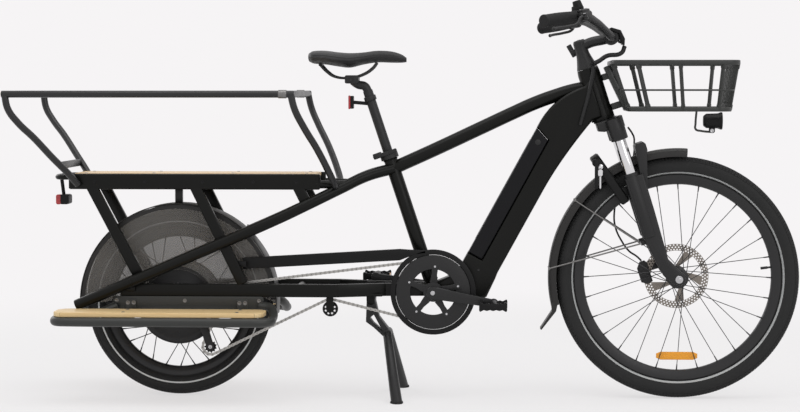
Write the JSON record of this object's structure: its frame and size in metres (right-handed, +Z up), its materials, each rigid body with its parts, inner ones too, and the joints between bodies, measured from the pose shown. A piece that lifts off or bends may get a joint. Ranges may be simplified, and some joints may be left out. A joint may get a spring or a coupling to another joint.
{
  "type": "longtail cargo bicycle",
  "caption": "Electric-assist longtail cargo bicycle with a wooden rear deck and footboards, a passenger rail, a front basket, mudguards, disc brakes and a centre stand.",
  "frame": {"origin": "on the ground, at the middle of the length and of the width", "axes": "+X forward, from the passenger rail to the front wheel; +Z up; the chain is on the -Y side"},
  "size_m": [2.169, 0.741, 1.0935],
  "materials": {
    "frame_paint": "satin",
    "satin_metal": "satin",
    "black_plastic": "matt",
    "smoke_plastic": "smooth",
    "grip_rubber": "matt",
    "tyre": "matt",
    "steel": "satin",
    "chrome": "polished",
    "bamboo": "satin",
    "amber": "glossy",
    "red": "glossy",
    "saddle_cover": "matt"
  },
  "bodies": {
    "frame": {"down_tube": "frame_paint", "battery": "black_plastic", "top_tube": "frame_paint", "seat_tube": "frame_paint", "main_stays": "frame_paint", "lower_rails": "frame_paint", "rack": "frame_paint", "deck_board": "bamboo", "passenger_rail": "satin_metal", "footboard_right": "bamboo", "footboard_left": "bamboo", "foot_frame_right": "satin_metal", "foot_frame_left": "satin_metal", "rear_fender": "black_plastic", "guard_right": "smoke_plastic", "guard_left": "smoke_plastic", "tail_light": "red", "chaincase": "black_plastic", "chain": "steel", "derailleur": "satin_metal", "basket": "satin_metal", "seat_clamp": "satin_metal", "rear_caliper": "satin_metal", "frame_cable": "grip_rubber"},
    "lamp": {"headlight": "black_plastic"},
    "steering": {"fork_crown": "chrome", "stem": "satin_metal", "handlebar": "satin_metal", "grip_right": "grip_rubber", "grip_left": "grip_rubber", "control_right": "black_plastic", "control_left": "black_plastic", "display": "black_plastic", "cable_bundle": "grip_rubber"},
    "right_lever": {"brake_lever_right": "satin_metal"},
    "left_lever": {"brake_lever_left": "satin_metal"},
    "lowers": {"fork_lowers": "satin_metal", "front_fender": "black_plastic", "ring_lock": "black_plastic", "front_caliper": "satin_metal", "front_hose": "grip_rubber"},
    "front_wheel": {"front_tyre": "tyre", "front_rim": "satin_metal", "front_hub": "steel", "front_disc": "chrome", "wheel_reflector": "amber"},
    "rear_wheel": {"rear_tyre": "tyre", "rear_rim": "satin_metal", "rear_hub": "satin_metal"},
    "cassette": {"cassette": "steel"},
    "crank": {"chainring": "steel", "crank_right": "satin_metal", "crank_left": "satin_metal"},
    "right_pedal": {"pedal_right": "black_plastic"},
    "left_pedal": {"pedal_left": "black_plastic"},
    "idler": {"idler": "black_plastic"},
    "stand": {"kickstand": "satin_metal"},
    "seat": {"seatpost": "satin_metal", "saddle": "saddle_cover"},
    "quick_release": {"qr_lever": "satin_metal"}
  },
  "joints": [
    {"name": "steering_turn", "type": "hinge", "parent": "frame", "child": "steering", "pos_m": [0.68901, 0, 0.31569], "axis": [-0.304, 0, 0.9527], "range_deg": [-45, 45]},
    {"name": "fork_travel", "type": "slide", "parent": "steering", "child": "lowers", "axis": [-0.304, 0, 0.9527], "range_m": [0, 0.05], "stiffness_N_per_m": 8000, "springref_m": -0.05},
    {"name": "front_wheel_spin", "type": "hinge", "parent": "lowers", "child": "front_wheel", "pos_m": [0.7495, 0, 0.335], "axis": [0, 1, 0], "continuous": true},
    {"name": "rear_wheel_spin", "type": "hinge", "parent": "frame", "child": "rear_wheel", "pos_m": [-0.638, 0, 0.261], "axis": [0, 1, 0], "continuous": true},
    {"name": "crank_spin", "type": "hinge", "parent": "frame", "child": "crank", "pos_m": [0.0747, 0, 0.2954], "axis": [0, 1, 0], "continuous": true},
    {"name": "cassette_spin", "type": "hinge", "parent": "frame", "child": "cassette", "pos_m": [-0.638, 0, 0.261], "axis": [0, 1, 0], "continuous": true},
    {"name": "idler_spin", "type": "hinge", "parent": "frame", "child": "idler", "pos_m": [-0.211, 0, 0.247], "axis": [0, 1, 0], "continuous": true},
    {"name": "right_pedal_spin", "type": "hinge", "parent": "crank", "child": "right_pedal", "pos_m": [0.24227, 0, 0.26676], "axis": [0, 1, 0], "continuous": true},
    {"name": "left_pedal_spin", "type": "hinge", "parent": "crank", "child": "left_pedal", "pos_m": [-0.09287, 0, 0.32404], "axis": [0, 1, 0], "continuous": true},
    {"name": "right_brake_squeeze", "type": "hinge", "parent": "steering", "child": "right_lever", "pos_m": [0.4834, -0.27432, 1.04663], "axis": [0.304, 0, -0.9527], "range_deg": [0, 20], "stiffness_Nm_per_rad": 1.5, "springref_deg": -17.19},
    {"name": "left_brake_squeeze", "type": "hinge", "parent": "steering", "child": "left_lever", "pos_m": [0.4834, 0.27432, 1.04663], "axis": [-0.304, 0, 0.9527], "range_deg": [0, 20], "stiffness_Nm_per_rad": 1.5, "springref_deg": -17.19},
    {"name": "stand_fold", "type": "hinge", "parent": "frame", "child": "stand", "pos_m": [-0.1, 0, 0.268], "axis": [0, 1, 0], "range_deg": [0, 80]},
    {"name": "lamp_tilt", "type": "hinge", "parent": "frame", "child": "lamp", "pos_m": [0.842, 0, 0.741], "axis": [0, 1, 0], "range_deg": [-12, 12]},
    {"name": "seat_height", "type": "slide", "parent": "frame", "child": "seat", "axis": [-0.3156, 0, 0.9489], "range_m": [-0.09, 0.05]},
    {"name": "quick_release_turn", "type": "hinge", "parent": "frame", "child": "quick_release", "pos_m": [-0.08591, -0.019, 0.6686], "axis": [0, 1, 0], "range_deg": [-150, 0]}
  ],
  "couplings": [
    {"joint": "cassette_spin", "follows": "crank_spin", "ratio": 2.75},
    {"joint": "idler_spin", "follows": "crank_spin", "ratio": -3.3846}
  ]
}
